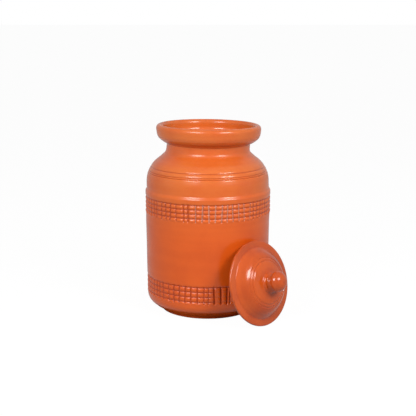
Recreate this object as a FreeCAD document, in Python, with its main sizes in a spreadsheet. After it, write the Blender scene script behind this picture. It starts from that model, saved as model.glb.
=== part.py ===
"""Thrown terracotta water jar with a loose, knobbed lid leaning against its side.

Frame: millimetres, +Z up, origin at the centre of the jar's flat foot. The jar is turned about Z.
The lid stands on its rim on the same floor, in front of the jar and to its right, and leans back on it.
"""
import FreeCAD, Part
import math
import os

import Sketcher

Vector = FreeCAD.Vector

# Driving dimensions: name, millimetres (degrees for angles), what it measures.
SIZES = [
    ("foot_radius", 77.0, "flat foot"),
    ("foot_rise", 6.2, "height of the foot's own wall"),
    ("foot_flare", 1.5, "how much wider the foot is at its top"),
    ("turn_inner_radius", 88.2, "lower edge of the rounded turn above the foot"),
    ("turn_low", 9.3, "height of that edge"),
    ("turn_high", 25.5, "height where the turn meets the wall"),
    ("turn_bend", 16.5, "radius of the turn"),
    ("wall_low_radius", 99.9, "outside of the wall at the turn"),
    ("wall_high_radius", 101.9, "outside of the wall under the belt"),
    ("belt_low", 162.4, "lower edge of the raised belt"),
    ("belt_radius", 103.3, "outside of the belt"),
    ("belt_edge", 2.0, "height of the belt's sloped lower edge"),
    ("bead_low", 197.0, "where the bead on top of the belt starts to round over"),
    ("bead_high", 206.8, "where the bead meets the shoulder wall"),
    ("bead_bend", 14.5, "radius of the bead"),
    ("shoulder_low", 214.0, "height where the shoulder starts to turn in"),
    ("shoulder_low_radius", 100.25, "outside of the wall there"),
    ("shoulder_high", 251.5, "height where the shoulder turns into the neck's flare"),
    ("shoulder_high_radius", 80.0, "outside of the shoulder there"),
    ("shoulder_bend", 45.0, "radius of the shoulder"),
    ("neck_low", 266.0, "height where the flare meets the neck"),
    ("neck_radius", 68.2, "outside of the neck"),
    ("flare_bend", 22.5, "radius of the flare under the neck"),
    ("neck_high", 275.0, "corner under the rim"),
    ("neck_high_radius", 67.9, "outside of the neck at that corner"),
    ("rim_slope_bend", 40.0, "radius of the rim's sloped underside"),
    ("rim_under", 284.0, "height where the rim's underside turns up"),
    ("rim_under_radius", 81.8, "outside of the rim there"),
    ("rim_radius", 85.4, "widest part of the rim"),
    ("rim_wide", 298.0, "height of the widest part"),
    ("rim_bend", 28.0, "radius of the rim's lower side"),
    ("rim_crest", 306.6, "top of the rim, and the jar's height"),
    ("rim_crest_radius", 79.4, "radius of the crest"),
    ("lip_bend", 5.6, "radius of the lip's outer side"),
    ("lip_inner_radius", 76.6, "inside edge of the lip"),
    ("lip_drop", 1.9, "how far that edge lies below the crest"),
    ("bowl_high_radius", 75.0, "top of the bowl inside the rim"),
    ("bowl_high", 299.8, "height of the bowl's top"),
    ("bowl_mid_radius", 73.0, "edge halfway down the bowl"),
    ("bowl_mid", 288.2, "height of that edge"),
    ("seat_outer_radius", 70.0, "outside of the seat that the lid rests on"),
    ("seat_height", 284.5, "height of the seat"),
    ("throat_radius", 60.0, "straight throat"),
    ("throat_low", 262.0, "bottom of the throat"),
    ("throat_round", 3.0, "rounding of the seat's inner edge"),
    ("inside_flare_bend", 41.0, "inside of the flare"),
    ("inside_shoulder_radius", 74.0, "inside where flare and shoulder meet"),
    ("inside_shoulder_high", 243.0, "height where they meet"),
    ("inside_shoulder_bend", 37.0, "inside of the shoulder"),
    ("wall_thickness", 9.7, "thickness of the wall at the shoulder's start"),
    ("floor_thickness", 12.0, "thickness of the jar's floor"),
    ("floor_corner", 18.0, "rounding between floor and wall inside"),
    ("line_section", 1.4, "radius of the tool that cuts the band lines"),
    ("line_offset", 0.3, "how far the tool's centre lies outside the wall"),
    ("upper_line_low", 168.85, "lowest line of the upper band"),
    ("upper_line_pitch", 7.03, "spacing of the upper band's lines"),
    ("lower_line_low", 33.9, "lowest line of the lower band"),
    ("lower_line_pitch", 8.05, "spacing of the lower band's lines"),
    ("lower_line_radius", 100.2, "outside of the wall at the lower band"),
    ("line_count", 4, "lines in a band"),
    ("scribe_section", 0.8, "radius of the tool that cuts the shoulder lines"),
    ("scribe_high", 237.8, "upper shoulder line"),
    ("scribe_high_radius", 93.1, "its distance from the axis"),
    ("scribe_mid", 231.6, "middle shoulder line"),
    ("scribe_mid_radius", 96.4, "its distance from the axis"),
    ("scribe_low", 229.1, "lower shoulder line"),
    ("scribe_low_radius", 97.5, "its distance from the axis"),
    ("lid_radius", 67.3, "outside of the lid's flange"),
    ("lid_flange", 6.0, "thickness of the flange"),
    ("lid_edge", 2.5, "rounding of the flange's edge"),
    ("ring_radius", 57.5, "outside of the locating ring under the lid"),
    ("ring_wall", 5.5, "thickness of the ring"),
    ("ring_depth", 8.0, "depth of the ring"),
    ("lid_hollow", 20.0, "height of the hollow above the ring"),
    ("step_radius", 58.6, "foot of the dome's step"),
    ("dome_radius", 55.0, "top of the step, where the dome starts"),
    ("dome_step", 3.6, "height of the step"),
    ("dome_mid_radius", 41.5, "where the dome's slope eases"),
    ("dome_mid", 12.5, "height of that place above the flange"),
    ("collar_radius", 16.0, "foot of the knob's stem"),
    ("collar_low", 21.2, "height of the collar above the flange"),
    ("collar_rise", 2.4, "height of the collar's edge"),
    ("stem_radius", 9.6, "stem of the knob"),
    ("stem_low", 27.5, "height where the stem is straight"),
    ("stem_bend", 6.5, "radius of the stem's hollow"),
    ("knob_radius", 16.3, "half the knob's width"),
    ("knob_half_height", 9.8, "half the knob's height"),
    ("knob_centre", 39.6, "height of the knob's centre above the flange"),
    ("lid_line_section", 0.9, "radius of the tool that cuts the lid's lines"),
    ("lid_line_outer", 36.4, "outer line on the lid"),
    ("lid_line_outer_rise", 14.5, "its height above the flange"),
    ("lid_line_inner", 32.0, "inner line on the lid"),
    ("lid_line_inner_rise", 16.0, "its height above the flange"),
    ("lid_lean", 13.9, "degrees that the lid leans back from upright"),
    ("lid_facing", 46.9, "degrees from the front to the right that the lid faces"),
    ("lid_place", 39.62, "degrees from the front to the right at which the lid stands"),
    ("lid_reach", 123.81, "distance from the jar's axis to the middle of the flange's back"),
]


def make_sheet(document):
    """Write the driving dimensions to a spreadsheet, one alias per row."""
    sheet = document.addObject("Spreadsheet::Sheet", "Sizes")
    for row, (name, value, meaning) in enumerate(SIZES, start=1):
        sheet.set("A%d" % row, name)
        sheet.set("B%d" % row, str(value))
        sheet.set("C%d" % row, meaning)
        sheet.setAlias("B%d" % row, name)
    document.recompute()
    return sheet


def with_sheet(formula):
    """Turn a formula in plain size names into one that FreeCAD reads from the sheet."""
    text = formula
    for name in sorted((size[0] for size in SIZES), key=len, reverse=True):
        text = text.replace("<%s>" % name, "Sizes.%s" % name)
    return text


def value_of(sheet, formula):
    """Work out a formula's number, to place a sketch's geometry before it is constrained."""
    return float(sheet.evalExpression(with_sheet(formula)))


def new_body(document, name):
    """Add an empty body whose label is the sub-part's name."""
    body = document.addObject("PartDesign::Body", name)
    body.Label = name
    return body


def new_sketch(body, name):
    """Add a sketch on the body's own XZ plane: its X is the radius and its Y is the height."""
    sketch = body.newObject("Sketcher::SketchObject", name)
    plane = [item for item in body.Origin.OriginFeatures if item.Role == "XZ_Plane"][0]
    sketch.AttachmentSupport = [(plane, "")]
    sketch.MapMode = "FlatFace"
    return sketch


def pin_point(sketch, index, end, across, up):
    """Hold one end of a line or arc at a radius and a height given by formulas."""
    for kind, axis_line, formula in (("DistanceX", -2, across), ("DistanceY", -1, up)):
        if formula == "0":
            sketch.addConstraint(Sketcher.Constraint("PointOnObject", index, end, axis_line))
            continue
        number = value_of(sketch.Document.Sizes, formula)
        made = sketch.addConstraint(Sketcher.Constraint(kind, -1, 1, index, end, number))
        sketch.setExpression("Constraints[%d]" % made, with_sheet(formula))


def arc_between(start, finish, bend):
    """Return the arc of the given radius from start to finish, and whether it runs anticlockwise.

    A positive bend puts the centre to the left of the way from start to finish, a negative to the right.
    """
    chord = finish - start
    half = chord.Length / 2
    left = Vector(-chord.y, chord.x, 0).normalize()
    offset = math.sqrt(bend * bend - half * half)
    centre = start + chord * 0.5 + left * math.copysign(offset, bend)
    turns_left = bend > 0
    first, last = (start, finish) if turns_left else (finish, start)
    angles = [math.atan2(point.y - centre.y, point.x - centre.x) for point in (first, last)]
    if angles[1] < angles[0]:
        angles[1] += 2 * math.pi
    circle = Part.Circle(centre, Vector(0, 0, 1), abs(bend))
    return Part.ArcOfCircle(circle, angles[0], angles[1]), turns_left


def draw_outline(sketch, corners):
    """Draw a closed outline through the corners and constrain every one of them.

    A corner is (radius formula, height formula, bend): the piece that leaves it is straight where
    bend is None, and otherwise an arc whose radius is the bend's formula, with its sign as in arc_between.
    """
    sheet = sketch.Document.Sizes
    points = [Vector(value_of(sheet, across), value_of(sheet, up), 0) for across, up, _ in corners]
    ends = []
    for index, (across, up, bend) in enumerate(corners):
        start = points[index]
        finish = points[(index + 1) % len(points)]
        if bend is None:
            sketch.addGeometry(Part.LineSegment(start, finish), False)
            ends.append((1, 2))
        else:
            arc, turns_left = arc_between(start, finish, value_of(sheet, bend))
            sketch.addGeometry(arc, False)
            ends.append((1, 2) if turns_left else (2, 1))
    for index, (across, up, bend) in enumerate(corners):
        following = (index + 1) % len(corners)
        join = Sketcher.Constraint("Coincident", index, ends[index][1], following, ends[following][0])
        sketch.addConstraint(join)
        pin_point(sketch, index, ends[index][0], across, up)
        if bend is not None:
            radius = Sketcher.Constraint("Radius", index, abs(value_of(sheet, bend)))
            made = sketch.addConstraint(radius)
            sketch.setExpression("Constraints[%d]" % made, "abs(%s)" % with_sheet(bend))


def revolve(body, name, corners):
    """Turn a closed outline about the body's Z axis."""
    sketch = new_sketch(body, name + "_outline")
    draw_outline(sketch, corners)
    turned = body.newObject("PartDesign::Revolution", name)
    turned.Profile = sketch
    turned.ReferenceAxis = (sketch, ["V_Axis"])
    turned.Angle = 360
    body.Document.recompute()
    return turned


def cut_line(body, name, across, up, section):
    """Cut one round-bottomed line right round the body, and check that it took clay away."""
    before = body.Shape.Volume
    sheet = body.Document.Sizes
    sketch = new_sketch(body, name + "_section")
    centre = Vector(value_of(sheet, across), value_of(sheet, up), 0)
    sketch.addGeometry(Part.Circle(centre, Vector(0, 0, 1), value_of(sheet, section)), False)
    pin_point(sketch, 0, 3, across, up)
    made = sketch.addConstraint(Sketcher.Constraint("Radius", 0, value_of(sheet, section)))
    sketch.setExpression("Constraints[%d]" % made, with_sheet(section))
    groove = body.newObject("PartDesign::Groove", name)
    groove.Profile = sketch
    groove.ReferenceAxis = (sketch, ["V_Axis"])
    groove.Angle = 360
    body.Document.recompute()
    if not before - body.Shape.Volume > 1:
        raise RuntimeError(name + " cut nothing")
    return groove


def repeat_up(body, name, feature, pitch):
    """Repeat a band line upwards at an even pitch, as many times as a band has lines."""
    pattern = body.newObject("PartDesign::LinearPattern", name)
    pattern.Originals = [feature]
    axis = [item for item in body.Origin.OriginFeatures if item.Role == "Z_Axis"][0]
    pattern.Direction = (axis, [""])
    pattern.setExpression("Occurrences", with_sheet("<line_count>"))
    pattern.setExpression("Length", with_sheet("%s * (<line_count> - 1)" % pitch))
    body.Tip = pattern
    body.Document.recompute()
    return pattern


def make_jar(document):
    """The jar: one thrown shell from its foot to its cupped rim, open at the top."""
    body = new_body(document, "jar")
    inside = "<shoulder_low_radius> - <wall_thickness>"
    foot = [
        ("0", "0", None),
        ("<foot_radius>", "0", None),
        ("<foot_radius> + <foot_flare>", "<foot_rise>", None),
        ("<turn_inner_radius>", "<turn_low>", "<turn_bend>"),
    ]
    wall = [
        ("<wall_low_radius>", "<turn_high>", None),
        ("<wall_high_radius>", "<belt_low>", None),
        ("<belt_radius>", "<belt_low> + <belt_edge>", None),
        ("<belt_radius>", "<bead_low>", "<bead_bend>"),
        ("<shoulder_low_radius> + 0.3", "<bead_high>", None),
    ]
    shoulder = [
        ("<shoulder_low_radius>", "<shoulder_low>", "<shoulder_bend>"),
        ("<shoulder_high_radius>", "<shoulder_high>", "-<flare_bend>"),
        ("<neck_radius>", "<neck_low>", None),
        ("<neck_high_radius>", "<neck_high>", "<rim_slope_bend>"),
    ]
    rim = [
        ("<rim_under_radius>", "<rim_under>", "<rim_bend>"),
        ("<rim_radius>", "<rim_wide>", None),
        ("<rim_radius>", "<rim_crest> - <lip_bend> + 0.8", "<lip_bend>"),
        ("<rim_crest_radius>", "<rim_crest>", "<lip_bend>"),
        ("<lip_inner_radius>", "<rim_crest> - <lip_drop>", None),
        ("<bowl_high_radius>", "<bowl_high>", None),
        ("<bowl_mid_radius>", "<bowl_mid>", None),
        ("<seat_outer_radius>", "<seat_height>", None),
    ]
    throat = [
        ("<throat_radius> + <throat_round>", "<seat_height>", "<throat_round>"),
        ("<throat_radius>", "<seat_height> - <throat_round>", None),
        ("<throat_radius>", "<throat_low>", "<inside_flare_bend>"),
        ("<inside_shoulder_radius>", "<inside_shoulder_high>", "-<inside_shoulder_bend>"),
    ]
    hollow = [
        (inside, "<shoulder_low>", None),
        (inside, "<floor_thickness> + <floor_corner>", "-<floor_corner>"),
        (inside + " - <floor_corner>", "<floor_thickness>", None),
        ("0", "<floor_thickness>", None),
    ]
    revolve(body, "thrown_wall", foot + wall + shoulder + rim + throat + hollow)
    for place in ("high", "mid", "low"):
        across = "<scribe_%s_radius>" % place
        cut_line(body, "shoulder_line_" + place, across, "<scribe_%s>" % place, "<scribe_section>")
    bands = (
        ("upper_band", "<belt_radius> + <line_offset>", "<upper_line_low>", "<upper_line_pitch>"),
        ("lower_band", "<lower_line_radius> + <line_offset>", "<lower_line_low>", "<lower_line_pitch>"),
    )
    for name, across, low, pitch in bands:
        line = cut_line(body, name + "_line", across, low, "<line_section>")
        repeat_up(body, name + "_lines", line, pitch)
    return body


def make_lid(document):
    """The lid, drawn seated: its own origin lies on its axis, level with the lower edge of its ring."""
    body = new_body(document, "lid")
    top = "<ring_depth> + <lid_flange>"
    hollow_radius = "<ring_radius> - <ring_wall>"
    cap = "((%s)^2 + <lid_hollow>^2) / (2 * <lid_hollow>)" % hollow_radius
    outline = [
        ("0", "<ring_depth> + <lid_hollow>", "-(%s)" % cap),
        (hollow_radius, "<ring_depth>", None),
        (hollow_radius, "0", None),
        ("<ring_radius>", "0", None),
        ("<ring_radius>", "<ring_depth>", None),
        ("<lid_radius> - <lid_edge>", "<ring_depth>", "<lid_edge>"),
        ("<lid_radius>", "<ring_depth> + <lid_edge>", None),
        ("<lid_radius>", top + " - <lid_edge>", "<lid_edge>"),
        ("<lid_radius> - <lid_edge>", top, None),
        ("<step_radius>", top, None),
        ("<dome_radius>", top + " + <dome_step>", None),
        ("<dome_mid_radius>", top + " + <dome_mid>", None),
        ("<collar_radius>", top + " + <collar_low>", None),
        ("<collar_radius> - 1", top + " + <collar_low> + <collar_rise>", "-<stem_bend>"),
        ("<stem_radius>", top + " + <stem_low>", None),
        ("<stem_radius>", top + " + <knob_centre>", None),
        ("0", top + " + <knob_centre>", None),
    ]
    revolve(body, "thrown_lid", outline)
    knob = body.newObject("PartDesign::AdditiveEllipsoid", "knob")
    knob.setExpression("Radius1", with_sheet("<knob_half_height>"))
    knob.setExpression("Radius2", with_sheet("<knob_radius>"))
    knob.setExpression("Radius3", with_sheet("<knob_radius>"))
    knob.setExpression("AttachmentOffset.Base.z", with_sheet(top + " + <knob_centre>"))
    knob.AttachmentSupport = [([i for i in body.Origin.OriginFeatures if i.Role == "XY_Plane"][0], "")]
    knob.MapMode = "FlatFace"
    document.recompute()
    cut_line(body, "outer_lid_line", "<lid_line_outer>", top + " + <lid_line_outer_rise>",
             "<lid_line_section>")
    cut_line(body, "inner_lid_line", "<lid_line_inner>", top + " + <lid_line_inner_rise>",
             "<lid_line_section>")
    return body


def stand_lid(body, sheet):
    """Stand the lid on its rim, turned to face its own way and leaning back towards the jar."""
    lean = math.radians(sheet.lid_lean)
    facing = math.radians(sheet.lid_facing)
    place = math.radians(sheet.lid_place)
    outward = Vector(math.sin(facing) * math.cos(lean), -math.cos(facing) * math.cos(lean), math.sin(lean))
    edge_drop = (sheet.lid_radius - sheet.lid_edge) * math.cos(lean) + sheet.lid_edge
    back_height = edge_drop - sheet.lid_edge * math.sin(lean)
    back = Vector(sheet.lid_reach * math.sin(place), -sheet.lid_reach * math.cos(place), back_height)
    turn = FreeCAD.Rotation(Vector(0, 0, 1), outward)
    body.Placement = FreeCAD.Placement(back - outward * sheet.ring_depth, turn)


def check_document(document, bodies):
    """Stop if any object failed to compute, or a sub-part isn't one valid solid."""
    failed = [item.Name for item in document.Objects if {"Invalid", "Error"} & set(item.State)]
    if failed:
        raise RuntimeError("these objects failed: " + ", ".join(failed))
    for body in bodies:
        shape = body.Shape
        if shape.isNull() or not shape.isValid() or len(shape.Solids) != 1:
            raise RuntimeError(body.Label + " isn't one valid solid")


def main():
    document = FreeCAD.newDocument("water_jar")
    sheet = make_sheet(document)
    jar = make_jar(document)
    lid = make_lid(document)
    stand_lid(lid, sheet)
    document.recompute()
    check_document(document, [jar, lid])
    gap = jar.Shape.distToShape(lid.Shape)[0]
    if not 0.2 < gap < 0.6:
        raise RuntimeError("the lid should just clear the wall, not by %.2f mm" % gap)
    os.makedirs("parts", exist_ok=True)
    for body in (jar, lid):
        body.Shape.exportStep("parts/%s.step" % body.Label)
        box = body.Shape.optimalBoundingBox()
        print("%s: %.1f cm3, z %.1f to %.1f" % (body.Label, body.Shape.Volume / 1000, box.ZMin, box.ZMax))
    print("gap between lid and wall: %.2f mm" % gap)


main()
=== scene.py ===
"""Thrown terracotta water jar with tooled bands, and its knobbed lid leaning against it.

Metres, +Z up, origin at the centre of the jar's foot. Outlines are written in millimetres.
"""
import math
import random

import bmesh
import bpy
from bpy.props import FloatProperty, FloatVectorProperty, IntProperty, PointerProperty
from mathutils import Matrix, Vector, noise


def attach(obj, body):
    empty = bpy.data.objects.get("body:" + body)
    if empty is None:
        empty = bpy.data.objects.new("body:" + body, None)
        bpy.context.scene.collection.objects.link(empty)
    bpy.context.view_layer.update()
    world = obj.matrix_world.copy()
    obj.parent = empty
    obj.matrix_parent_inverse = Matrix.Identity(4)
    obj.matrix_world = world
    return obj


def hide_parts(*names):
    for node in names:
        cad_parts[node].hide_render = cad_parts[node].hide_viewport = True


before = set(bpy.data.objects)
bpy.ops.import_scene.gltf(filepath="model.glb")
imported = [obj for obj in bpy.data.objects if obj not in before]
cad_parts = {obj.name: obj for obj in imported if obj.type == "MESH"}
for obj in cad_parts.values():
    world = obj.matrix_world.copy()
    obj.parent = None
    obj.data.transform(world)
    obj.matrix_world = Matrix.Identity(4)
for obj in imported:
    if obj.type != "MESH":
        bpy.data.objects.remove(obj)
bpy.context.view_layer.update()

bl_info = {
    "name": "Thrown Water Jar",
    "version": (1, 0, 0),
    "blender": (4, 5, 0),
    "location": "View3D > Sidebar > Water Jar",
    "description": "Models a thrown terracotta water jar, its lid and a plain white stage",
    "category": "Add Mesh",
}

MM = 0.001

# Sizes below are in millimetres and angles in degrees, unless a line says otherwise. Angles run
# from the front of the jar to its right.
COLUMNS_PER_CELL = 2  # columns of points round the jar's wall, away from the bands
LID_COLUMNS = 180
WELD_DISTANCE = 0.002
ROW_ERROR = 0.001  # how far two points of one row may differ in height
HEIGHT_SLACK = 0.01  # how far a point may lie outside two heights and still count
OUTER_WALL = 96.0  # beyond this distance from the axis lies only the outside of the body
BODY_RADIUS = 100.0  # used to turn a slant into an angle

# Level lines of the bands
LINES_IN_BAND = 4
LINE_HALF_WIDTH = 1.7
BAND_MARGIN = 1  # how far beyond its foot and head a band's columns keep their own places
LINE_ROWS = (-1.7, -1.1, -0.55, 0.0, 0.55, 1.1, 1.7)  # rows of points across a line
LINE_SHARES = (0.68, 0.32)  # of the depth: the line itself, and the cells' roundness beside it
LINE_WANDER = 0.42  # how far a level line strays up and down
WANDER_WAVES = 3  # how often it strays on its way round
WANDER_HEIGHT = 9  # how far apart two lines have to be to stray on their own
FAINT_SHARE = 0.6  # how much shallower a faint stretch of the level lines is

# Upright lines of the bands
UPRIGHT_COLUMNS = (0.55, 1.1, 1.75)  # columns of points beside an upright line
UPRIGHT_LEFT = 1.25  # half width to the left of the middle, the steeper side
UPRIGHT_RIGHT = 2.1
UPRIGHT_SHARES = (0.74, 0.26)  # of the depth, as above
UPRIGHT_SLOPE = 4.4  # half width of the cells' roundness beside an upright line
UPRIGHT_END = 0.7  # how softly an upright line starts and ends
SLANT_RANGE = (-3.0, 3.0)
DEPTH_RANGE = (0.8, 1.12)  # shares of the depth that is set
FOOT_RANGE = (-0.5, 0.5)
HEAD_RANGE = (-0.4, 0.5)
DEEP_SHARE = 1.75  # how much deeper the lines are that were cut through twice
GLINT_WIDTH = 1.1  # half width of the painted pale reflection in an upright line

# Each band has the height of its lowest level line and the pitch of the rest, the foot and head
# of its upright lines, the heights between which points move, the columns of points in a cell, and
# the angles of the front upright lines. Deep ones were cut twice. The four angles of a faint
# stretch, or of a glinting one whose upright lines carry a painted pale reflection, are where it
# starts, is full, wanes and ends.
UPPER_BAND = {
    "lowest": 168.85, "pitch": 7.03, "foot": 163.2, "head": 191.1, "low": 158.8, "high": 194.6,
    "columns": 10, "seed": 11,
    "front": (-56.9, -52.9, -46.1, -40.9, -35.8, -29.7, -22.2, -18.0, -11.0, -4.9, 0.8, 6.6, 12.5,
              17.4, 22.4, 28.3, 33.9, 40.7, 44.8, 49.4, 54.2, 58.2),
    # Bearings where the upright lines carry a painted pale reflection
    "glinting": (-15.0, -9.0, 30.0, 50.0),
}
LOWER_BAND = {
    "lowest": 33.9, "pitch": 8.05, "foot": 30.6, "head": 59.3, "low": 27.4, "high": 62.8,
    "columns": 12, "seed": 23,
    "front": (-55.0, -50.7, -45.8, -38.7, -32.9, -27.3, -21.3, -15.8, -9.7, -3.4, 0.7, 5.8, 12.1,
              17.9, 21.0),
    "deep": (5.8, 12.1, 17.9),
    "faint": (2.0, 7.0, 28.0, 36.0),
}

# Shoulder and rim
SHOULDER_CENTRE = Vector((55.2, 213.6))
SHOULDER_BEND = 45.0
SHOULDER_ROWS = (216.0, 218.6, 221.2, 223.6, 225.2, 226.2, 226.8, 227.4, 234.2, 235.4, 240.8, 242.8,
                 245.0, 247.2, 249.4, 251.5)
SHOULDER_EDGE = 78  # distance from the axis beyond which the shoulder lies
# Height, depth and half width of each scribed line
SHOULDER_LINES = ((237.8, 1.0, 1.5), (231.6, 1.0, 1.0), (229.1, 1.0, 1.0))
SCRIBE_ROWS = (-1.0, -0.65, -0.3, 0.0, 0.3, 0.65, 1.0)  # rows of points, in half widths of a line
SCRIBE_RAW_AND_SHADE = 0.8  # share of darker colour at the bottom of a shoulder line: raw clay and painted shade
SHOULDER_BURR = (227.2, 0.13, 1.7)  # height, rise and half width of the burr under the lines
RIM_CREASE_SHADE = (279.0, 5.5, 0.65)  # height, half width and share of painted shade in the crease under the rim
RIM_UNDERSIDE = (66, 82)  # distances from the axis between which the painted crease shade lies

# Errors of throwing
ON_AXIS = 1  # points nearer to the axis than this stay where they are
FOOT_STRETCH = (2, 12)  # heights between which the errors come in, so that the foot stays flat
RIM_STRETCH = (256, 281)  # heights between which the rim's tilt and shift come in
BELT_SHIFT = 0.45  # how far the belt sits to the right of the foot
BELT_STRETCH = (150, 166, 198, 212)  # heights where the shift starts, is full, wanes and ends
WALL_STRAY = 0.12  # how far the wall strays in and out
WALL_SHRINK = 0.1  # how far it is drawn in, so that what strays out stays within the CAD size
STRAY_WAVES = 1.3  # how often it strays on its way round
STRAY_HEIGHT = 70  # how far apart two heights have to be to stray on their own
FINGER_DEPTH = 0.35  # of the ridges that fingers leave inside
FINGER_PITCH = 9.5
FINGER_STRETCH = (16, 40, 225, 255)  # heights where the ridges start, are full, wane and end
HOLLOW_RADIUS = 91  # the hollow lies nearer to the axis than this, between the heights below
HOLLOW_HEIGHTS = (13, 262)

# Lid, with heights from the lower edge of its ring
LID_WAVER = 0.22  # how far the flange wavers up and down
WAVER_SIZE = 45  # how far apart two spots have to be to waver on their own
WAVER_SPOT = Vector((7, 3, 1))  # where in the noise the lid lies
WAVER_RADII = (20, 50)  # distances from the lid's axis between which the waver comes in
WAVER_HEIGHTS = (8.1, 14.0)  # heights between which it comes in
RING_DEPTH = 8.0  # from the flange's back to the lower edge of the ring
LID_RADIUS = 67.3
LID_EDGE = 2.5  # rounding of the flange's lower edge, on which the lid stands
KNOB_STRETCH = (34, 45)  # heights between which the knob's offset comes in

# Clay
SHEEN_HEIGHTS = (0.12, 0.24)  # metres, between which the clay turns to the painted sheen colour high up
MARK_TWIST = 14.0  # how fast the turning marks change on their way round, per metre
MARK_SHARES = (0.45, 0.55)  # of fine and of broad marks
STREAK_CLOUD = 0.7  # how strongly the streaks deepen the colour, beside the clouds
GRIT_CLOUD = 0.22  # how strongly grit deepens the colour
GLINT_COVER = 0.66  # how much of the clay's colour the painted reflection hides where it is strongest
RAW_ROUGHNESS = 0.08  # how much rougher raw clay is
STREAK_ROUGHNESS = (-0.03, 0.04)  # change of roughness from one end of the streaks to the other

# Stage
LENS = 82.83
SENSOR_WIDTH = 36.0
LENS_SHIFT = (0.00087, 0.0012)  # sideways and up, in widths of the picture
LAMP_TARGET = Vector((0.02, -0.03, 0.16))  # metres
RIGHT_SHARE = 0.95  # power of the right soft box beside the left one's
ROOM_IN_CLAY = 0.6  # how white the room looks in the clay's mirror image
FLOOR_PAINT = (0.43, 0.43, 0.43, 1.0)
GLOW_SHARE = 0.9  # of the floor as the camera sees it; the rest is paint, which takes the shadows
GLOW_LEVEL = 1.08  # how bright the glowing share is
CONTACT_EDGE = (0.089, 0.099)  # metres from the axis, where the jar's own shade on the floor ends
CONTACT_LEVEL = 0.60  # how white the floor looks in the clay's mirror image beyond it
OPEN_FLOOR_EDGE = (0.11, 0.20)  # metres from the axis, between which this changes once more
OPEN_FLOOR_CHANGE = -0.07


# --- Settings -----------------------------------------------------------------------------------

class JarSettings(bpy.types.PropertyGroup):
    """Sizes of the jar that a potter would vary."""
    cells: IntProperty(
        name="Cells", description="Cells round each tooled band", default=66, min=24)
    line_depth: FloatProperty(
        name="Line depth", description="How deep the level lines of a band are cut",
        default=1.6 * MM, min=0.0, unit="LENGTH")
    upright_depth: FloatProperty(
        name="Upright depth", description="How deep the upright lines of a band are cut",
        default=1.9 * MM, min=0.1 * MM, unit="LENGTH")
    rim_tilt: FloatProperty(
        name="Rim tilt", description="How far the rim leans down to the right",
        default=math.radians(0.76), subtype="ANGLE")
    rim_shift: FloatProperty(
        name="Rim shift", description="How far the rim sits to the right of the foot",
        default=1.65 * MM, unit="LENGTH")


class LidSettings(bpy.types.PropertyGroup):
    """Sizes of the lid, and how it stands."""
    lean: FloatProperty(
        name="Lean", description="How far the lid leans back from upright",
        default=math.radians(13.9), subtype="ANGLE")
    facing: FloatProperty(
        name="Facing", description="How far to the right of the front the lid faces",
        default=math.radians(46.9), subtype="ANGLE")
    place: FloatProperty(
        name="Place", description="How far to the right of the front the lid stands",
        default=math.radians(39.62), subtype="ANGLE")
    reach: FloatProperty(
        name="Reach", description="From the jar's axis to the middle of the flange's back",
        default=123.81 * MM, unit="LENGTH")
    knob_offset: FloatProperty(
        name="Knob offset", description="How far the knob was set off the lid's axis",
        default=0.9 * MM, unit="LENGTH")


class ClaySettings(bpy.types.PropertyGroup):
    """Colours of the fired clay, with painted sheen, shade and reflection."""
    jar_colour: FloatVectorProperty(
        name="Jar clay", description="Burnished terracotta of the jar", subtype="COLOR",
        default=(0.74, 0.110, 0.007), min=0.0, max=1.0)
    jar_deep: FloatVectorProperty(
        name="Jar clay, deep", description="Darker clouds and the bottoms of the lines",
        subtype="COLOR", default=(0.60, 0.073, 0.005), min=0.0, max=1.0)
    lid_colour: FloatVectorProperty(
        name="Lid clay", description="Burnished terracotta of the lid", subtype="COLOR",
        default=(0.63, 0.099, 0.010), min=0.0, max=1.0)
    # Painted sheen: the paler, yellower colour high up stands in for the light that the
    # upward-facing shoulder catches and reflects
    shoulder_sheen_colour: FloatVectorProperty(
        name="Shoulder sheen", description="Paler, yellower clay towards the jar's shoulder",
        subtype="COLOR", default=(0.70, 0.156, 0.026), min=0.0, max=1.0)
    # Darker colour in the cut lines, partly raw clay and partly painted shade; it is also the
    # painted shade in the crease under the rim
    line_colour: FloatVectorProperty(
        name="Line colour", description="Raw, darker clay at the bottom of the cut lines",
        subtype="COLOR", default=(0.36, 0.034, 0.003), min=0.0, max=1.0)
    # Painted pale reflection, where the walls of some upright lines would catch the light
    glint_colour: FloatVectorProperty(
        name="Glint colour", description="Pale dry slip left in some of the upright lines",
        subtype="COLOR", default=(0.62, 0.42, 0.33), min=0.0, max=1.0)
    lid_deep: FloatVectorProperty(
        name="Lid clay, deep", description="Darker clouds on the lid", subtype="COLOR",
        default=(0.44, 0.050, 0.004), min=0.0, max=1.0)


class StageSettings(bpy.types.PropertyGroup):
    """The camera and the lamps."""
    camera_distance: FloatProperty(
        name="Camera distance", description="From the camera to the jar's axis, along the floor",
        default=1.55, unit="LENGTH")
    camera_height: FloatProperty(
        name="Camera height", description="Height of the camera above the floor",
        default=0.4786, unit="LENGTH")
    camera_pitch: FloatProperty(
        name="Camera pitch", description="How far the camera looks down",
        default=math.radians(11.41), subtype="ANGLE")
    lamp_power: FloatProperty(
        name="Lamp power", description="Power of each main soft box", default=17.6, min=0.0)
    overhead_power: FloatProperty(
        name="Overhead power", description="Power of the large soft box above", default=4.5,
        min=0.0)
    side_power: FloatProperty(
        name="Side power", description="Power of each faint soft box at the sides", default=2.6,
        min=0.0)
    sky_strength: FloatProperty(
        name="Sky strength", description="How strongly the white room lights the clay",
        default=0.04, min=0.0)


# --- Outlines -----------------------------------------------------------------------------------

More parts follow.
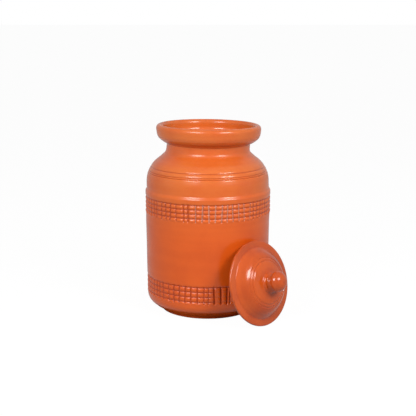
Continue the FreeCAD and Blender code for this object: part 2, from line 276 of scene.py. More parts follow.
class Outline:
    """A half section drawn from point to point, each (distance from the axis, height)."""

    def __init__(self, radius, height):
        self.points = [Vector((radius, height))]

    def line(self, radius, height, rows=1):
        """Run straight to a point in even rows."""
        start = self.points[-1].copy()
        end = Vector((radius, height))
        self.points += [start.lerp(end, row / rows) for row in range(1, rows + 1)]

    def rise(self, radius, heights):
        """Run straight to the last of the heights, with a row at each of them."""
        start = self.points[-1].copy()
        for height in heights:
            share = (height - start.y) / (heights[-1] - start.y)
            self.points.append(Vector((start.x + (radius - start.x) * share, height)))

    def arc(self, radius, height, bend, rows):
        """Run along an arc; its centre lies to the left of the way if the bend is positive."""
        start = self.points[-1].copy()
        chord = Vector((radius, height)) - start
        left = Vector((-chord.y, chord.x)).normalized()
        offset = math.copysign(math.sqrt(bend * bend - chord.length_squared / 4), bend)
        centre = start + chord / 2 + left * offset
        swing = 2 * math.asin(chord.length / 2 / bend)
        for row in range(1, rows + 1):
            self.points.append(centre + Matrix.Rotation(swing * row / rows, 2) @ (start - centre))


def smooth_share(low, high, value):
    """Go from 0 at low to 1 at high with level ends."""
    share = min(1.0, max(0.0, (value - low) / (high - low)))
    return share * share * (3 - 2 * share)


def groove(distance, half_width):
    """Depth of a round-bottomed line at a distance from its middle, as a share of the whole."""
    if abs(distance) >= half_width:
        return 0.0
    return 0.5 + 0.5 * math.cos(math.pi * distance / half_width)


def stretch_share(stretch, value):
    """Rise from 0 to 1 and fall again: stretch holds the ends of the rise and of the fall."""
    if stretch is None:
        return 0.0
    rise_from, rise_to, fall_from, fall_to = stretch
    return smooth_share(rise_from, rise_to, value) * (1 - smooth_share(fall_from, fall_to, value))


class Band:
    """A belt of tooled cells between level and upright lines, all a little uneven."""

    def __init__(self, cells, lowest, pitch, foot, head, low, high, columns, seed, front, deep=(),
                 faint=None, glinting=None):
        """Lines run from foot to head, and the wall's points are moved between low and high."""
        chance = random.Random(seed)
        self.lines = [lowest + pitch * index for index in range(LINES_IN_BAND)]
        self.pitch = pitch
        self.foot = foot
        self.head = head
        self.low = low
        self.high = high
        self.cells = cells
        self.columns = columns
        self.faint = faint
        self.glinting = glinting
        deep = [self.from_front(angle) for angle in deep]
        self.uprights = []
        for angle in self.spread(cells, front):
            self.uprights.append({
                "angle": angle,
                "slant": math.tan(math.radians(chance.uniform(*SLANT_RANGE))),
                "depth": chance.uniform(*DEPTH_RANGE) * (DEEP_SHARE if angle in deep else 1.0),
                "foot": foot + chance.uniform(*FOOT_RANGE),
                "head": head + chance.uniform(*HEAD_RANGE),
            })
        self.shift = Vector((chance.uniform(0, 50), chance.uniform(0, 50), 0))

    @staticmethod
    def from_front(degrees):
        """Turn degrees to the right of the front into the angle that the points use."""
        return math.radians(degrees - 90)

    def spread(self, cells, front):
        """Angles of the upright lines: the front ones as they were cut, the rest evenly behind."""
        cut = [self.from_front(angle) for angle in front]
        rest = cells - len(cut)
        gap = (math.tau - (cut[-1] - cut[0])) / (rest + 1)
        return cut + [cut[-1] + gap * (step + 1) for step in range(rest)]

    def rows(self):
        """Heights of the rows of points across the lines and the cells between them."""
        heights = [line + offset for line in self.lines for offset in LINE_ROWS]
        heights += [line + self.pitch / 2 for line in self.lines[:-1]]
        return sorted(heights)

    def upright(self, cell, height):
        """Angle of an upright line at a height."""
        line = self.uprights[cell % self.cells]
        turns = math.tau * (cell // self.cells)
        middle = (self.foot + self.head) / 2
        return line["angle"] + turns + line["slant"] * (height - middle) / BODY_RADIUS

    def place(self, column, height, radius):
        """Angle of a column of points, its distance from the nearest upright line, and which."""
        cell, step = divmod(column, self.columns)
        first = self.upright(cell, height)
        width = (self.upright(cell + 1, height) - first) * radius
        near = (0.0,) + UPRIGHT_COLUMNS
        faces = self.columns - 2 * len(near) + 1
        if step < len(near):
            along = near[step]
        elif self.columns - step < len(near):
            along = width - near[self.columns - step]
        else:
            share = (step - len(near) + 1) / (faces + 1)
            along = near[-1] + (width - 2 * near[-1]) * share
        if along < width / 2:
            return first + along / radius, along, cell
        return first + along / radius, along - width, cell + 1

    def firmness(self, bearing, line):
        """How firmly a level line was pressed; the top one is firm all the way round."""
        if line == self.lines[-1]:
            return 1.0
        return 1 - FAINT_SHARE * stretch_share(self.faint, bearing)

    def wander(self, angle, height):
        """How far a level line strays from its height."""
        spot = Vector((math.cos(angle) * WANDER_WAVES, math.sin(angle) * WANDER_WAVES,
                       height / WANDER_HEIGHT)) + self.shift
        return LINE_WANDER * noise.noise(spot)


# --- Meshes -------------------------------------------------------------------------------------

def throw(outline, columns):
    """Spin a half section that starts and ends on the axis into a closed shell."""
    shell = bmesh.new()
    verts = [shell.verts.new((point.x * MM, 0.0, point.y * MM)) for point in outline.points]
    edges = [shell.edges.new(pair) for pair in zip(verts, verts[1:])]
    bmesh.ops.spin(shell, geom=verts + edges, cent=(0, 0, 0), axis=(0, 0, 1), dvec=(0, 0, 0),
                   angle=math.tau, steps=columns, use_merge=True)
    bmesh.ops.remove_doubles(shell, verts=shell.verts[:], dist=WELD_DISTANCE * MM)
    bmesh.ops.recalc_face_normals(shell, faces=shell.faces[:])
    return shell


def shoulder_points():
    """Points up the round shoulder, with the scribed lines cut into it."""
    heights = list(SHOULDER_ROWS)
    for height, _, half_width in SHOULDER_LINES:
        heights += [height + half_width * step for step in SCRIBE_ROWS]
    burr_height, burr_rise, burr_half_width = SHOULDER_BURR
    points = []
    for height in sorted(heights):
        rise = height - SHOULDER_CENTRE.y
        outward = Vector((math.sqrt(SHOULDER_BEND ** 2 - rise ** 2), rise)) / SHOULDER_BEND
        cut = max(depth * groove(height - line, half_width)
                  for line, depth, half_width in SHOULDER_LINES)
        burr = burr_rise * groove(height - burr_height, burr_half_width)
        points.append(SHOULDER_CENTRE + outward * (SHOULDER_BEND - cut + burr))
    return points


def jar_outline(upper, lower):
    """Half section of the jar, from the middle of its foot round to the middle of its floor."""
    outline = Outline(0, 0)
    # Foot, and the turn from it into the wall
    outline.line(75.6, 0, rows=4)
    outline.arc(77.0, 1.1, 1.7, rows=2)
    outline.line(78.2, 6.2, rows=2)
    outline.arc(79.8, 7.6, -1.8, rows=3)
    outline.line(87.6, 9.1, rows=3)
    outline.arc(88.6, 9.7, 3.0, rows=2)
    outline.line(91.6, 12.3, rows=2)
    outline.arc(99.8, 25.5, 18.0, rows=8)
    # Lower band, plain wall, upper band
    outline.rise(100.1, [27.0, 28.4, 29.4])
    outline.line(100.3, 30.2)
    outline.line(100.65, 30.9)
    outline.line(100.5, 31.7)
    outline.rise(100.65, lower.rows())
    outline.rise(100.75, [61.2, 62.8])
    outline.line(101.25, 112.0, rows=4)
    outline.line(101.9, 158.8, rows=4)
    outline.rise(101.95, [160.6, 162.3])
    outline.line(102.2, 163.0)
    outline.arc(102.6, 166.2, 4.0, rows=5)
    outline.rise(102.6, upper.rows())
    outline.rise(102.65, [192.8, 194.6])
    # Step at the top of the belt, and the shoulder
    outline.line(102.65, 197.6, rows=2)
    outline.arc(102.2, 199.35, 3.6, rows=5)
    outline.line(101.0, 201.6, rows=2)
    outline.arc(100.4, 204.1, -5.0, rows=5)
    outline.line(100.3, 208.0, rows=2)
    outline.line(100.2, 214.0, rows=3)
    outline.points += shoulder_points()
    # Neck
    outline.line(74.9, 255.6, rows=3)
    outline.line(71.6, 258.5, rows=2)
    outline.arc(68.15, 265.7, -10.6, rows=7)
    outline.line(68.0, 269.0)
    outline.rise(68.0, [271.0, 274.0])
    outline.arc(69.1, 275.5, -1.6, rows=3)
    # Cupped rim, outside and over its lip
    outline.arc(81.4, 284.0, 40.0, rows=6)
    outline.arc(82.6, 285.8, 6.5, rows=2)
    outline.arc(84.5, 291.6, 15.0, rows=4)
    outline.arc(85.35, 298.0, 60.0, rows=2)
    outline.line(85.3, 299.8)
    outline.arc(79.4, 305.4, 5.8, rows=7)
    outline.arc(76.6, 303.5, 3.0, rows=4)
    outline.arc(75.0, 299.8, 6.0, rows=4)
    # Inside of the rim, the lid's seat and the throat
    outline.line(74.7, 291.8, rows=3)
    outline.arc(73.0, 287.8, -7.0, rows=3)
    outline.line(71.0, 285.2, rows=2)
    outline.line(70.0, 284.5)
    outline.line(63.0, 284.5, rows=2)
    outline.arc(60.0, 281.5, 3.0, rows=4)
    outline.line(60.0, 262.0, rows=4)
    # Hollow and floor
    outline.arc(74.0, 243.0, 41.0, rows=6)
    outline.arc(90.55, 214.0, -37.0, rows=9)
    outline.line(90.55, 30.0, rows=44)
    outline.arc(72.55, 12.0, -18.0, rows=7)
    outline.line(0, 12.0, rows=8)
    return outline


def on_outer_wall(point, low, high):
    """Tell whether a point of the jar lies on the outside of the body between two heights."""
    between = low - HEIGHT_SLACK <= point.z / MM <= high + HEIGHT_SLACK
    return between and point.xy.length > OUTER_WALL * MM


def split_columns(shell, band):
    """Cut the outer wall behind a band into more columns."""
    rings = []
    for edge in shell.edges:
        one, other = (vert.co for vert in edge.verts)
        level = abs(one.z - other.z) < ROW_ERROR * MM
        if level and on_outer_wall(one, band.low, band.high):
            rings.append(edge)
    cuts = band.columns // COLUMNS_PER_CELL - 1
    bmesh.ops.subdivide_edges(shell, edges=rings, cuts=cuts, use_grid_fill=True)


def carve_band(shell, outline, band, line_depth, upright_depth):
    """Move the wall's points to a band's own columns and press its lines into the clay."""
    raw_and_shade = shell.verts.layers.float["raw_and_shade"]
    glint_amount = shell.verts.layers.float["glint_amount"]
    radius_at = {round(point.y, 3): point.x for point in outline.points if point.x > OUTER_WALL}
    total = band.cells * band.columns
    start = band.uprights[0]["angle"]
    for vert in shell.verts:
        if not on_outer_wall(vert.co, band.low, band.high):
            continue
        height = vert.co.z / MM
        radius = radius_at[round(height, 3)]
        turn = (math.atan2(vert.co.y, vert.co.x) - start) % math.tau
        column = round(turn / math.tau * total) % total
        even = start + column * math.tau / total
        angle, beside, owner = band.place(column, height, radius)
        # Columns go back to their even places where the band meets the plain wall
        hold = smooth_share(band.low, band.foot - BAND_MARGIN, height)
        hold *= smooth_share(band.high, band.head + BAND_MARGIN, height)
        angle = even + (angle - even) * hold
        bearing = math.degrees(angle) + 90

        # Depth of the nearest level line, as a share of its whole depth
        line = min(band.lines, key=lambda place: abs(place - height))
        level = LINE_SHARES[0] * groove(height - line, LINE_HALF_WIDTH)
        level += LINE_SHARES[1] * groove(height - line, band.pitch / 2)
        level *= band.firmness(bearing, line)

        # Depth of the nearest upright line
        upright = band.uprights[owner % band.cells]
        foot, head = upright["foot"], upright["head"]
        ends = smooth_share(foot - UPRIGHT_END, foot + UPRIGHT_END, height)
        ends *= 1 - smooth_share(head - UPRIGHT_END, head + UPRIGHT_END, height)
        across = UPRIGHT_SHARES[0] * groove(beside, UPRIGHT_LEFT if beside < 0 else UPRIGHT_RIGHT)
        across += UPRIGHT_SHARES[1] * groove(beside, UPRIGHT_SLOPE)
        across *= ends * upright["depth"]

        # Where the two cross they run together within the whole depth, which only deep ones pass
        cut = 1 - (1 - level * line_depth / upright_depth) * (1 - min(across, 1.0))
        radius -= (cut + max(0.0, across - 1.0)) * upright_depth / MM
        # Share of the darker line colour: raw clay and painted shade in the cut
        vert[raw_and_shade] = max(0.0, min(1.0, cut))
        # Painted pale reflection down some upright lines of the upper band
        vert[glint_amount] = groove(beside, GLINT_WIDTH) * ends * stretch_share(band.glinting, bearing)
        height += band.wander(angle, line) * hold
        vert.co = Vector((radius * math.cos(angle), radius * math.sin(angle), height)) * MM


def mark_raw_clay_and_shade(shell):
    """Note where the colour is darkened: raw clay and painted shade in the shoulder lines, and
    painted shade in the crease under the rim.
    """
    raw_and_shade = shell.verts.layers.float["raw_and_shade"]
    crease, crease_half_width, crease_shade = RIM_CREASE_SHADE
    inner, outer = RIM_UNDERSIDE
    for vert in shell.verts:
        radius = vert.co.xy.length / MM
        height = vert.co.z / MM
        darkening = 0.0
        if radius > SHOULDER_EDGE:
            darkening = max(SCRIBE_RAW_AND_SHADE * groove(height - line, half_width)
                      for line, _, half_width in SHOULDER_LINES)
        # Painted shade in the crease under the rim, where the rim's overhang shades the neck
        if inner < radius < outer:
            darkening = max(darkening, crease_shade * groove(height - crease, crease_half_width))
        vert[raw_and_shade] = max(vert[raw_and_shade], darkening)


def settle_jar(shell, tilt, shift):
    """Give the thrown wall the small errors of a hand-turned pot."""
    hollow_low, hollow_high = HOLLOW_HEIGHTS
    for vert in shell.verts:
        radius = vert.co.xy.length
        if radius < ON_AXIS * MM:
            continue
        height = vert.co.z / MM
        around = vert.co.xy / radius
        if radius < HOLLOW_RADIUS * MM and hollow_low < height < hollow_high:
            turn = math.atan2(around.y, around.x) / math.tau
            ridge = math.sin(math.tau * (height / FINGER_PITCH + turn))
            stray = FINGER_DEPTH * ridge * stretch_share(FINGER_STRETCH, height)
        else:
            spot = Vector((around.x * STRAY_WAVES, around.y * STRAY_WAVES, height / STRAY_HEIGHT))
            stray = WALL_STRAY * noise.noise(spot) - WALL_SHRINK
        vert.co.xy = around * (radius + stray * MM * smooth_share(*FOOT_STRETCH, height))
        vert.co.x += BELT_SHIFT * MM * stretch_share(BELT_STRETCH, height)
        lift = smooth_share(*RIM_STRETCH, height)
        vert.co.z -= vert.co.x * math.tan(tilt) * lift
        vert.co.x += shift * lift


def finish_piece(shell, name, body, node, material):
    """Turn a closed shell into a smooth piece that stands for its CAD node."""
    mesh = bpy.data.meshes.new(name)
    for face in shell.faces:
        face.smooth = True
    shell.to_mesh(mesh)
    shell.free()
    piece = bpy.data.objects.new(name, mesh)
    bpy.context.scene.collection.objects.link(piece)
    mesh.materials.append(material)
    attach(piece, body)
    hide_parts(node)


def lid_outline():
    """Half section of the lid, from the top of its hollow out to its edge and up to the knob."""
    outline = Outline(0, 28.0)
    # Hollow and the ring under the lid
    outline.arc(52.0, 8.0, -77.6, rows=14)
    outline.line(52.0, 1.5, rows=2)
    outline.arc(53.5, 0, 1.5, rows=3)
    outline.line(56.0, 0)
    outline.arc(57.5, 1.5, 1.5, rows=3)
    outline.line(57.5, 7.0, rows=2)
    outline.arc(58.5, 8.0, -1.0, rows=2)
    # Flange
    outline.line(64.8, 8.0, rows=2)
    outline.arc(67.3, 10.5, 2.5, rows=4)
    outline.line(67.3, 11.5)
    outline.arc(65.8, 13.2, 1.65, rows=6)
    outline.line(57.3, 13.7, rows=4)
    # Dome with its two raised rings
    outline.arc(55.9, 14.55, -1.9, rows=5)
    outline.line(47.6, 23.4, rows=5)
    outline.arc(40.8, 28.0, 30.0, rows=9)
    outline.arc(40.2, 27.95, 0.5, rows=3)
    outline.arc(39.3, 27.9, -0.7, rows=4)
    outline.line(38.3, 28.75, rows=2)
    outline.arc(36.0, 29.9, 5.5, rows=6)
    outline.arc(35.3, 29.78, 0.8, rows=3)
    outline.arc(34.45, 29.75, -0.7, rows=4)
    outline.line(33.7, 30.4, rows=2)
    outline.arc(31.95, 31.3, 4.5, rows=5)
    outline.line(17.6, 34.5, rows=5)
    # Stem and ball knob
    outline.arc(16.3, 35.5, -3.0, rows=2)
    outline.arc(14.9, 37.7, 2.0, rows=4)
    outline.arc(9.6, 42.0, -6.0, rows=6)
    outline.line(9.6, 43.5)
    outline.arc(10.9, 45.0, -1.6, rows=4)
    outline.arc(16.1, 51.5, 6.65, rows=9)
    outline.arc(15.86, 52.87, 4.0, rows=3)
    outline.arc(8.36, 61.05, 14.5, rows=9)
    outline.arc(0, 62.91, 19.8, rows=6)
    return outline


def lid_matrix(lid):
    """Where the leaning lid stands: its own axis turned outwards, its edge on the floor."""
    outward = Vector((math.sin(lid.facing) * math.cos(lid.lean),
                      -math.cos(lid.facing) * math.cos(lid.lean), math.sin(lid.lean)))
    edge = LID_EDGE * MM
    edge_drop = (LID_RADIUS * MM - edge) * math.cos(lid.lean) + edge
    back = Vector((lid.reach * math.sin(lid.place), -lid.reach * math.cos(lid.place),
                   edge_drop - edge * math.sin(lid.lean)))
    turn = Vector((0, 0, 1)).rotation_difference(outward).to_matrix().to_4x4()
    return Matrix.Translation(back - outward * RING_DEPTH * MM) @ turn


def settle_lid(shell, place, offset):
    """Set the knob a little off the axis, let the edge waver, and stand the lid in its place."""
    up = place.to_3x3().inverted() @ Vector((0, 0, 1))
    up.z = 0
    up.normalize()
    inner, outer = WAVER_RADII
    for vert in shell.verts:
        height = vert.co.z / MM
        vert.co += up * offset * smooth_share(*KNOB_STRETCH, height)
        radius = vert.co.xy.length
        spot = Vector((vert.co.x, vert.co.y, 0)) / (WAVER_SIZE * MM) + WAVER_SPOT
        waver = LID_WAVER * MM * noise.noise(spot) * smooth_share(inner * MM, outer * MM, radius)
        vert.co.z += waver * smooth_share(*WAVER_HEIGHTS, height)
    shell.transform(place)


# --- Materials ----------------------------------------------------------------------------------

def new_group(name, inputs, outputs):
    """Start a shader node group with named sockets, each (name, kind, default)."""
    group = bpy.data.node_groups.new(name, "ShaderNodeTree")
    for label, kind, default in inputs:
        socket = group.interface.new_socket(name=label, in_out="INPUT", socket_type=kind)
        if default is not None:
            socket.default_value = default
    for label, kind in outputs:
        group.interface.new_socket(name=label, in_out="OUTPUT", socket_type=kind)
    start = group.nodes.new("NodeGroupInput")
    end = group.nodes.new("NodeGroupOutput")
    return group, start, end


def add_node(tree, kind, settings=None, values=None):
    """Add a node, set its options, and set or link its inputs."""
    node = tree.nodes.new(kind)
    for key, value in (settings or {}).items():
        setattr(node, key, value)
    for key, value in (values or {}).items():
        if isinstance(value, bpy.types.NodeSocket):
            tree.links.new(value, node.inputs[key])
        else:
            node.inputs[key].default_value = value
    return node


def calculate(tree, operation, *values):
    """Add a Math node and return its result."""
    node = add_node(tree, "ShaderNodeMath", {"operation": operation}, dict(enumerate(values)))
    return node.outputs[0]


def remap(tree, value, low, high, to_low=0.0, to_high=1.0):
    """Stretch a value from one range to another and hold it at the ends."""
    node = add_node(tree, "ShaderNodeMapRange", {"interpolation_type": "SMOOTHSTEP"},
                    {"Value": value, "From Min": low, "From Max": high,
                     "To Min": to_low, "To Max": to_high})
    return node.outputs["Result"]


def turning_marks_group():
    """Fine rings round the axis, as a rib and a burnishing stone leave them."""
    group, start, end = new_group(
        "Turning marks",
        [("Vector", "NodeSocketVector", None), ("Spacing", "NodeSocketFloat", 0.002)],
        [("Height", "NodeSocketFloat"), ("Streak", "NodeSocketFloat")])
    parts = add_node(group, "ShaderNodeSeparateXYZ", values={"Vector": start.outputs["Vector"]})
    across = calculate(group, "MULTIPLY", parts.outputs["X"], parts.outputs["X"])
    along = calculate(group, "MULTIPLY", parts.outputs["Y"], parts.outputs["Y"])
    radius = calculate(group, "SQRT", calculate(group, "ADD", across, along))
    ring = add_node(group, "ShaderNodeCombineXYZ", values={
        "X": calculate(group, "DIVIDE", radius, start.outputs["Spacing"]),
        "Y": calculate(group, "DIVIDE", parts.outputs["Z"], start.outputs["Spacing"]),
        "Z": calculate(group, "MULTIPLY", parts.outputs["X"], MARK_TWIST)})
    fine = add_node(group, "ShaderNodeTexNoise", {"noise_dimensions": "3D"},
                    {"Vector": ring.outputs[0], "Scale": 1.0, "Detail": 2.0, "Roughness": 0.5})
    broad = add_node(group, "ShaderNodeTexNoise", {"noise_dimensions": "3D"},
                     {"Vector": ring.outputs[0], "Scale": 0.22, "Detail": 2.0, "Roughness": 0.55})
    mixed = calculate(group, "ADD", calculate(group, "MULTIPLY", fine.outputs[0], MARK_SHARES[0]),
                      calculate(group, "MULTIPLY", broad.outputs[0], MARK_SHARES[1]))
    group.links.new(mixed, end.inputs["Height"])
    group.links.new(remap(group, broad.outputs[0], 0.35, 0.65), end.inputs["Streak"])
    return group


def clay_clouds_group():
    """Soft clouds of deeper clay and fine grit, with darker colour (raw clay and painted shade)
    where lines are cut and under the rim, and a painted pale reflection in some upright lines.
    """
    group, start, end = new_group(
        "Clay clouds",
        [("Vector", "NodeSocketVector", None), ("Clay", "NodeSocketColor", None),
         ("Deep", "NodeSocketColor", None), ("Amount", "NodeSocketFloat", 0.4),
         ("Line", "NodeSocketColor", None), ("Streak", "NodeSocketFloat", 0.5),
         ("Raw clay and shade", "NodeSocketFloat", 0.0), ("Glint colour", "NodeSocketColor", None),
         ("Glint amount", "NodeSocketFloat", 0.0)],
        [("Color", "NodeSocketColor"), ("Grit", "NodeSocketFloat")])
    cloud = add_node(group, "ShaderNodeTexNoise", values={
        "Vector": start.outputs["Vector"], "Scale": 16.0, "Detail": 4.0, "Roughness": 0.55})
    grain = add_node(group, "ShaderNodeTexNoise", values={
        "Vector": start.outputs["Vector"], "Scale": 520.0, "Detail": 2.0, "Roughness": 0.6})
    deep = calculate(group, "MULTIPLY", remap(group, cloud.outputs[0], 0.38, 0.68),
                     start.outputs["Amount"])
    ringed = calculate(group, "MULTIPLY", start.outputs["Streak"],
                       calculate(group, "MULTIPLY", start.outputs["Amount"], STREAK_CLOUD))
    grit = remap(group, grain.outputs[0], 0.60, 0.72)
    speck = calculate(group, "MULTIPLY", grit, GRIT_CLOUD)
    total = calculate(group, "ADD", calculate(group, "ADD", deep, ringed), speck)
    held = calculate(group, "MINIMUM", total, 1.0)
    mix = add_node(group, "ShaderNodeMix", {"data_type": "RGBA"}, {
        0: held, 6: start.outputs["Clay"], 7: start.outputs["Deep"]})
    # Darker line colour, raw clay and painted shade, in the cut lines and the crease under the rim
    darkening = remap(group, start.outputs["Raw clay and shade"], 0.2, 0.95, 0.0, 0.8)
    lined = add_node(group, "ShaderNodeMix", {"data_type": "RGBA"}, {
        0: darkening, 6: mix.outputs[2], 7: start.outputs["Line"]})
    # Painted pale reflection in some upright lines
    glinting = add_node(group, "ShaderNodeMix", {"data_type": "RGBA"}, {
        0: calculate(group, "MULTIPLY", start.outputs["Glint amount"], GLINT_COVER),
        6: lined.outputs[2], 7: start.outputs["Glint colour"]})
    group.links.new(glinting.outputs[2], end.inputs["Color"])
    group.links.new(grit, end.inputs["Grit"])
    return group


def shared_group(name, build):
    """Return the node group of that name, built once."""
    return bpy.data.node_groups.get(name) or build()


def place_group(tree, group, values):
    """Add a group node with its inputs set or linked."""
    return add_node(tree, "ShaderNodeGroup", {"node_tree": group}, values)


def clay_material(name, colours, place, spacing, cloudiness, roughness, refraction):
    """Burnished terracotta whose marks run round the axis of the piece that stands at place.

    The colours are the clay's own and the painted sheen high up the piece, the deeper clouds, the
    darker colour in the lines (raw clay and painted shade) and the painted pale reflection in some
    lines.
    """
    material = bpy.data.materials.new(name)
    material.use_nodes = True
    tree = material.node_tree
    tree.nodes.clear()
    output = tree.nodes.new("ShaderNodeOutputMaterial")
    shader = tree.nodes.new("ShaderNodeBsdfPrincipled")
    coordinates = tree.nodes.new("ShaderNodeTexCoord")
    local = add_node(tree, "ShaderNodeMapping", {"vector_type": "TEXTURE"}, {
        "Vector": coordinates.outputs["Object"], "Location": place.to_translation(),
        "Rotation": place.to_euler()})
    raw_and_shade = add_node(tree, "ShaderNodeAttribute", {"attribute_name": "raw_and_shade"})
    glint_amount = add_node(tree, "ShaderNodeAttribute", {"attribute_name": "glint_amount"})
    parts = add_node(tree, "ShaderNodeSeparateXYZ", values={"Vector": local.outputs[0]})
    # Painted sheen: towards the shoulder the clay turns paler and yellower, in place of the light
    # that the upward-facing surfaces reflect
    sheened = add_node(tree, "ShaderNodeMix", {"data_type": "RGBA"}, {
        0: remap(tree, parts.outputs["Z"], *SHEEN_HEIGHTS), 6: (*colours["clay"], 1.0),
        7: (*colours["high"], 1.0)})
    marks = place_group(tree, shared_group("Turning marks", turning_marks_group),
                        {"Vector": local.outputs[0], "Spacing": spacing})
    clouds = place_group(tree, shared_group("Clay clouds", clay_clouds_group), {
        "Vector": local.outputs[0], "Clay": sheened.outputs[2], "Deep": (*colours["deep"], 1.0),
        "Line": (*colours["line"], 1.0), "Amount": cloudiness, "Streak": marks.outputs["Streak"],
        "Raw clay and shade": raw_and_shade.outputs["Fac"], "Glint colour": (*colours["glint"], 1.0),
        "Glint amount": glint_amount.outputs["Fac"]})
    worn = calculate(tree, "MULTIPLY", raw_and_shade.outputs["Fac"], RAW_ROUGHNESS)
    smoother, rougher = STREAK_ROUGHNESS
    sheen = remap(tree, marks.outputs["Streak"], 0.0, 1.0, roughness + smoother,
                  roughness + rougher)
    bump = add_node(tree, "ShaderNodeBump", values={
        "Height": marks.outputs["Height"], "Strength": 0.22, "Distance": 0.25 * MM})
    grit = add_node(tree, "ShaderNodeBump", {"invert": True}, {
        "Height": clouds.outputs["Grit"], "Strength": 0.12, "Distance": 0.1 * MM,
        "Normal": bump.outputs[0]})
    tree.links.new(clouds.outputs["Color"], shader.inputs["Base Color"])
    tree.links.new(calculate(tree, "ADD", sheen, worn), shader.inputs["Roughness"])
    tree.links.new(grit.outputs[0], shader.inputs["Normal"])
    shader.inputs["IOR"].default_value = refraction
    tree.links.new(shader.outputs[0], output.inputs["Surface"])
    return material


def floor_material():
    """White ground that looks evenly lit to the camera and still takes a faint shadow."""
    material = bpy.data.materials.new("white_ground")
    material.use_nodes = True
    tree = material.node_tree
    tree.nodes.clear()
    output = tree.nodes.new("ShaderNodeOutputMaterial")
    path = tree.nodes.new("ShaderNodeLightPath")
    mirrored = calculate(tree, "MAXIMUM", path.outputs["Is Glossy Ray"],
                         path.outputs["Is Transmission Ray"])
    coordinates = tree.nodes.new("ShaderNodeTexCoord")
    away = add_node(tree, "ShaderNodeVectorMath", {"operation": "LENGTH"},
                    {0: coordinates.outputs["Object"]})
    # In the clay's mirror image the floor's glow is painted: a painted shadow up to the jar's foot,
    # then a set level that changes once more further out
    contact = remap(tree, away.outputs["Value"], *CONTACT_EDGE, 0.0, CONTACT_LEVEL)
    change = remap(tree, away.outputs["Value"], *OPEN_FLOOR_EDGE, 0.0, OPEN_FLOOR_CHANGE)
    open_floor = calculate(tree, "ADD", contact, change)
    seen = path.outputs["Is Camera Ray"]
    share = calculate(tree, "MAXIMUM", calculate(tree, "MULTIPLY", seen, GLOW_SHARE), mirrored)
    level = calculate(tree, "MAXIMUM", calculate(tree, "MULTIPLY", seen, GLOW_LEVEL), open_floor)
    paint = add_node(tree, "ShaderNodeBsdfDiffuse", values={"Color": FLOOR_PAINT})
    glow = add_node(tree, "ShaderNodeEmission", values={"Color": (1, 1, 1, 1), "Strength": level})
    mix = add_node(tree, "ShaderNodeMixShader", values={
        0: share, 1: paint.outputs[0], 2: glow.outputs[0]})
    tree.links.new(mix.outputs[0], output.inputs["Surface"])
    return material


# --- Stage --------------------------------------------------------------------------------------

def add_soft_box(name, bearing, elevation, distance, size, power, mirrored=True):
    """Stand a soft box round the jar, aimed at the middle of its height, with angles in degrees."""
    bearing, elevation = math.radians(bearing), math.radians(elevation)
    level = math.cos(elevation)
    away = Vector((math.sin(bearing) * level, -math.cos(bearing) * level, math.sin(elevation)))
    data = bpy.data.lights.new(name, "AREA")
    data.shape = "RECTANGLE"
    data.size, data.size_y = size
    data.energy = power
    lamp = bpy.data.objects.new(name, data)
    lamp.location = LAMP_TARGET + away * distance
    lamp.rotation_euler = away.to_track_quat("Z", "Y").to_euler()
    lamp.visible_glossy = mirrored
    bpy.context.scene.collection.objects.link(lamp)


def make_floor():
    """Lay a large white floor."""
    sheet = bmesh.new()
    bmesh.ops.create_grid(sheet, x_segments=1, y_segments=1, size=60.0)
    mesh = bpy.data.meshes.new("floor")
    sheet.to_mesh(mesh)
    sheet.free()
    floor = bpy.data.objects.new("floor", mesh)
    bpy.context.scene.collection.objects.link(floor)
    mesh.materials.append(floor_material())


def make_world(strength):
    """A white room: plain white where it is seen, and softer as mirror image and as light."""
    world = bpy.data.worlds.new("white_room")
    world.use_nodes = True
    tree = world.node_tree
    tree.nodes.clear()
    output = tree.nodes.new("ShaderNodeOutputWorld")
    path = tree.nodes.new("ShaderNodeLightPath")
    seen = calculate(tree, "MAXIMUM", path.outputs["Is Camera Ray"],
                     path.outputs["Is Transmission Ray"])
    mirrored = calculate(tree, "MULTIPLY", path.outputs["Is Glossy Ray"], ROOM_IN_CLAY)
    seen = calculate(tree, "MAXIMUM", seen, mirrored)
    level = calculate(tree, "ADD", calculate(tree, "MULTIPLY", seen, 1.0 - strength), strength)
    sky = add_node(tree, "ShaderNodeBackground", values={"Color": (1, 1, 1, 1), "Strength": level})
    tree.links.new(sky.outputs[0], output.inputs["Surface"])
    bpy.context.scene.world = world


def make_camera(stage):
    """Set the camera in front of the jar, a little above its rim."""
    data = bpy.data.cameras.new("camera")
    data.sensor_width = SENSOR_WIDTH
    data.lens = LENS
    data.shift_x, data.shift_y = LENS_SHIFT
    data.clip_end = 50.0
    camera = bpy.data.objects.new("camera", data)
    camera.location = (0.0, -stage.camera_distance, stage.camera_height)
    camera.rotation_euler = (math.pi / 2 - stage.camera_pitch, 0.0, 0.0)
    bpy.context.scene.collection.objects.link(camera)
    bpy.context.scene.camera = camera


# --- Operators ----------------------------------------------------------------------------------

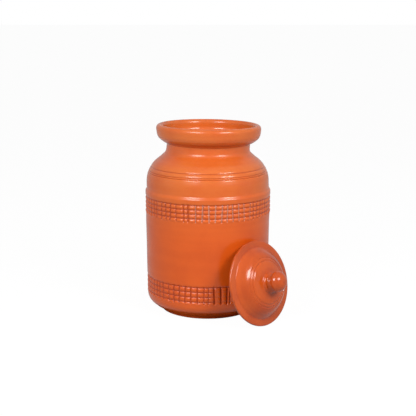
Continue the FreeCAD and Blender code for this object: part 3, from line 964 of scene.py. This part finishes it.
class JAR_OT_throw_jar(bpy.types.Operator):
    """Throw the jar, cut its bands and shoulder lines, and finish it in burnished clay"""
    bl_idname = "jar.throw_jar"
    bl_label = "Throw the jar"

    def execute(self, context):
        jar = context.scene.jar_settings
        clay = context.scene.clay_settings
        upper = Band(jar.cells, **UPPER_BAND)
        lower = Band(jar.cells, **LOWER_BAND)
        outline = jar_outline(upper, lower)
        shell = throw(outline, jar.cells * COLUMNS_PER_CELL)
        for band in (lower, upper):
            split_columns(shell, band)
        shell.verts.layers.float.new("raw_and_shade")
        shell.verts.layers.float.new("glint_amount")
        for band in (lower, upper):
            carve_band(shell, outline, band, jar.line_depth, jar.upright_depth)
        mark_raw_clay_and_shade(shell)
        settle_jar(shell, jar.rim_tilt, jar.rim_shift)
        colours = {"clay": clay.jar_colour, "high": clay.shoulder_sheen_colour, "deep": clay.jar_deep,
                   "line": clay.line_colour, "glint": clay.glint_colour}
        material = clay_material("jar_clay", colours, Matrix.Identity(4),
                                 spacing=4.5 * MM, cloudiness=0.35, roughness=0.23, refraction=1.52)
        finish_piece(shell, "jar_wall", "jar", "jar", material)
        return {"FINISHED"}


class JAR_OT_throw_lid(bpy.types.Operator):
    """Throw the lid with its ring, dome and knob, and lean it against the jar"""
    bl_idname = "jar.throw_lid"
    bl_label = "Throw the lid"

    def execute(self, context):
        lid = context.scene.lid_settings
        clay = context.scene.clay_settings
        place = lid_matrix(lid)
        shell = throw(lid_outline(), LID_COLUMNS)
        settle_lid(shell, place, lid.knob_offset)
        shell.verts.layers.float.new("raw_and_shade")
        colours = {"clay": clay.lid_colour, "high": clay.lid_colour, "deep": clay.lid_deep,
                   "line": clay.line_colour, "glint": clay.glint_colour}
        material = clay_material("lid_clay", colours, place,
                                 spacing=3.0 * MM, cloudiness=0.6, roughness=0.16, refraction=1.5)
        finish_piece(shell, "lid_dome", "lid", "lid", material)
        return {"FINISHED"}


class JAR_OT_set_stage(bpy.types.Operator):
    """Lay the white floor and set the room, the soft boxes and the camera"""
    bl_idname = "jar.set_stage"
    bl_label = "Set the stage"

    def execute(self, context):
        stage = context.scene.stage_settings
        make_floor()
        make_world(stage.sky_strength)
        add_soft_box("soft_box_left", bearing=-30, elevation=31, distance=1.7, size=(0.68, 0.5),
                     power=stage.lamp_power)
        add_soft_box("soft_box_right", bearing=40, elevation=32, distance=1.7, size=(0.62, 0.5),
                     power=stage.lamp_power * RIGHT_SHARE)
        add_soft_box("soft_box_above", bearing=10, elevation=76, distance=1.6, size=(1.8, 1.8),
                     power=stage.overhead_power, mirrored=False)
        for bearing in (-78, 78):
            add_soft_box("soft_box_side", bearing, elevation=8, distance=1.6, size=(0.7, 0.7),
                         power=stage.side_power, mirrored=False)
        make_camera(stage)
        context.scene.view_settings.view_transform = "Standard"
        return {"FINISHED"}


class JAR_PT_sidebar(bpy.types.Panel):
    """Lists the steps that make the jar"""
    bl_idname = "JAR_PT_sidebar"
    bl_label = "Water Jar"
    bl_space_type = "VIEW_3D"
    bl_region_type = "UI"
    bl_category = "Water Jar"

    def draw(self, context):
        layout = self.layout
        for operator in OPERATORS:
            layout.operator(operator.bl_idname)
        for settings in SETTINGS:
            group = getattr(context.scene, settings)
            for name in group.bl_rna.properties.keys():
                if name not in ("name", "rna_type"):
                    layout.prop(group, name)


OPERATORS = (JAR_OT_set_stage, JAR_OT_throw_jar, JAR_OT_throw_lid)
SETTINGS = {
    "jar_settings": JarSettings,
    "lid_settings": LidSettings,
    "clay_settings": ClaySettings,
    "stage_settings": StageSettings,
}


def register():
    """Register the settings, the operators and the panel."""
    for name, group in SETTINGS.items():
        bpy.utils.register_class(group)
        setattr(bpy.types.Scene, name, PointerProperty(type=group))
    for item in (*OPERATORS, JAR_PT_sidebar):
        bpy.utils.register_class(item)


def unregister():
    """Take everything off again, in the opposite order."""
    for item in reversed((*OPERATORS, JAR_PT_sidebar)):
        bpy.utils.unregister_class(item)
    for name, group in reversed(SETTINGS.items()):
        delattr(bpy.types.Scene, name)
        bpy.utils.unregister_class(group)


def main():
    """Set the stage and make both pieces."""
    register()
    bpy.ops.jar.set_stage()
    bpy.ops.jar.throw_jar()
    bpy.ops.jar.throw_lid()


if __name__ == "__main__":
    main()
